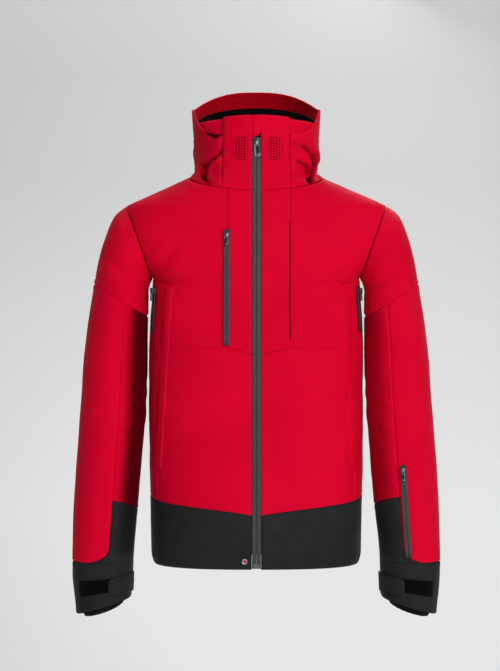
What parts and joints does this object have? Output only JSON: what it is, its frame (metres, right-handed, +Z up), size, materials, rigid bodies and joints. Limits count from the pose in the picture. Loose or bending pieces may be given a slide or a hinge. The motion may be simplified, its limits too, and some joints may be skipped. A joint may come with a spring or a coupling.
{
  "type": "ski jacket",
  "caption": "Hooded waterproof ski jacket with a full-length front zip, chest, pit and forearm zips, a contrast hem and cuffs, and a standing collar.",
  "frame": {"origin": "where a hook bears inside the hang loop at the back of the neck, on the jacket's middle plane", "axes": "+Z up, -Y to the front of the jacket, +X to the wearer's left"},
  "size_m": [0.6704, 0.2938, 0.9689],
  "materials": {
    "red_shell": "matte",
    "charcoal_shell": "matte",
    "black_lining": "matte",
    "tape": "satin",
    "zip_metal": "satin",
    "loop_patch": "matte"
  },
  "bodies": {
    "main_slider": {"main_slider": "zip_metal"},
    "main_puller": {"main_puller": "zip_metal"},
    "chest_slider": {"chest_slider": "zip_metal"},
    "chest_puller": {"chest_puller": "zip_metal"},
    "pit_right_slider": {"pit_right_slider": "zip_metal"},
    "pit_right_puller": {"pit_right_puller": "zip_metal"},
    "pit_left_slider": {"pit_left_slider": "zip_metal"},
    "pit_left_puller": {"pit_left_puller": "zip_metal"},
    "pass_slider": {"pass_slider": "zip_metal"},
    "pass_puller": {"pass_puller": "zip_metal"},
    "storm_flap": {"storm_flap": "red_shell"},
    "cuff_tab_right": {"cuff_tab_right": "charcoal_shell"},
    "cuff_tab_left": {"cuff_tab_left": "charcoal_shell"},
    "hood": {"hood_back": "red_shell", "hood_side_right": "red_shell", "hood_side_left": "red_shell"},
    "sleeve_right": {"sleeve_head_right": "red_shell", "top_sleeve_right": "red_shell", "under_sleeve_right": "red_shell", "forearm_panel_right": "charcoal_shell", "cuff_band_right": "charcoal_shell", "gaiter_right": "black_lining", "cuff_patch_right": "loop_patch"},
    "sleeve_left": {"sleeve_head_left": "red_shell", "top_sleeve_left": "red_shell", "under_sleeve_left": "red_shell", "forearm_panel_left": "charcoal_shell", "cuff_band_left": "charcoal_shell", "gaiter_left": "black_lining", "cuff_patch_left": "loop_patch", "pass_tape": "tape"},
    "shell": {"front_yoke_right": "red_shell", "front_chest_right": "red_shell", "front_lower_right": "red_shell", "side_right": "red_shell", "hem_front_right": "charcoal_shell", "front_yoke_left": "red_shell", "front_chest_left": "red_shell", "front_lower_left": "red_shell", "side_left": "red_shell", "hem_front_left": "charcoal_shell", "hem_back": "charcoal_shell", "back_body": "red_shell", "back_yoke": "red_shell", "chin_guard_right": "red_shell", "chin_guard_left": "red_shell", "inner_collar": "black_lining", "hood_cheek_right": "red_shell", "hood_cheek_left": "red_shell", "hang_loop": "black_lining", "main_tape_right": "tape", "main_tape_left": "tape", "main_box": "zip_metal", "zip_garage": "red_shell", "chest_tape": "tape", "pit_right_tape": "tape", "pit_left_tape": "tape", "pocket_welt_right": "red_shell", "pocket_welt_left": "red_shell", "hem_snap": "zip_metal"}
  },
  "joints": [
    {"name": "main_zip_slide", "type": "slide", "parent": "shell", "child": "main_slider", "axis": [0, -0.0519, -0.9987], "range_m": [0, 0.742]},
    {"name": "main_puller_flip", "type": "hinge", "parent": "main_slider", "child": "main_puller", "pos_m": [0, -0.1755, 0.00217], "axis": [-1, 0, 0], "range_deg": [0, 120]},
    {"name": "chest_zip_slide", "type": "slide", "parent": "shell", "child": "chest_slider", "axis": [0, -0.0481, -0.9988], "range_m": [0, 0.182]},
    {"name": "chest_puller_flip", "type": "hinge", "parent": "chest_slider", "child": "chest_puller", "pos_m": [-0.05351, -0.18829, -0.16582], "axis": [-0.9979, 0.065, -0.0031], "range_deg": [0, 120]},
    {"name": "pit_right_zip_slide", "type": "slide", "parent": "shell", "child": "pit_right_slider", "axis": [-0.0487, -0.0216, -0.9986], "range_m": [0, 0.06]},
    {"name": "pit_right_puller_flip", "type": "hinge", "parent": "pit_right_slider", "child": "pit_right_puller", "pos_m": [-0.19107, -0.12518, -0.26479], "axis": [-0.4131, 0.9107, 0.0005], "range_deg": [0, 60]},
    {"name": "pit_left_zip_slide", "type": "slide", "parent": "shell", "child": "pit_left_slider", "axis": [0.0487, -0.0216, -0.9986], "range_m": [0, 0.06]},
    {"name": "pit_left_puller_flip", "type": "hinge", "parent": "pit_left_slider", "child": "pit_left_puller", "pos_m": [0.19107, -0.12518, -0.26479], "axis": [-0.4131, -0.9107, -0.0005], "range_deg": [0, 60]},
    {"name": "pass_zip_slide", "type": "slide", "parent": "sleeve_left", "child": "pass_slider", "axis": [0.0649, -0.0547, -0.9964], "range_m": [0, 0.145]},
    {"name": "pass_puller_flip", "type": "hinge", "parent": "pass_slider", "child": "pass_puller", "pos_m": [0.26393, -0.17589, -0.59028], "axis": [-0.9963, 0.0534, -0.0679], "range_deg": [0, 120]},
    {"name": "storm_flap_lift", "type": "hinge", "parent": "shell", "child": "storm_flap", "pos_m": [0.08416, -0.18447, -0.24794], "axis": [-0.0006, 0.0385, 0.9993], "range_deg": [0, 75]},
    {"name": "cuff_tab_lift_right", "type": "hinge", "parent": "sleeve_right", "child": "cuff_tab_right", "pos_m": [-0.22147, -0.13397, -0.79397], "axis": [0.0376, 0.0805, 0.996], "range_deg": [0, 70]},
    {"name": "cuff_tab_lift_left", "type": "hinge", "parent": "sleeve_left", "child": "cuff_tab_left", "pos_m": [0.22147, -0.13397, -0.79397], "axis": [0.0376, -0.0805, -0.996], "range_deg": [0, 70]},
    {"name": "hood_tilt", "type": "hinge", "parent": "shell", "child": "hood", "pos_m": [0, 0.02065, -0.0562], "axis": [-1, 0, 0], "range_deg": [0, 25]},
    {"name": "sleeve_swing_right", "type": "hinge", "parent": "shell", "child": "sleeve_right", "pos_m": [-0.2145, -0.07635, -0.1732], "axis": [0.9397, 0, 0.342], "range_deg": [-25, 10]},
    {"name": "sleeve_swing_left", "type": "hinge", "parent": "shell", "child": "sleeve_left", "pos_m": [0.2145, -0.07635, -0.1732], "axis": [0.9397, 0, -0.342], "range_deg": [-25, 10]}
  ]
}
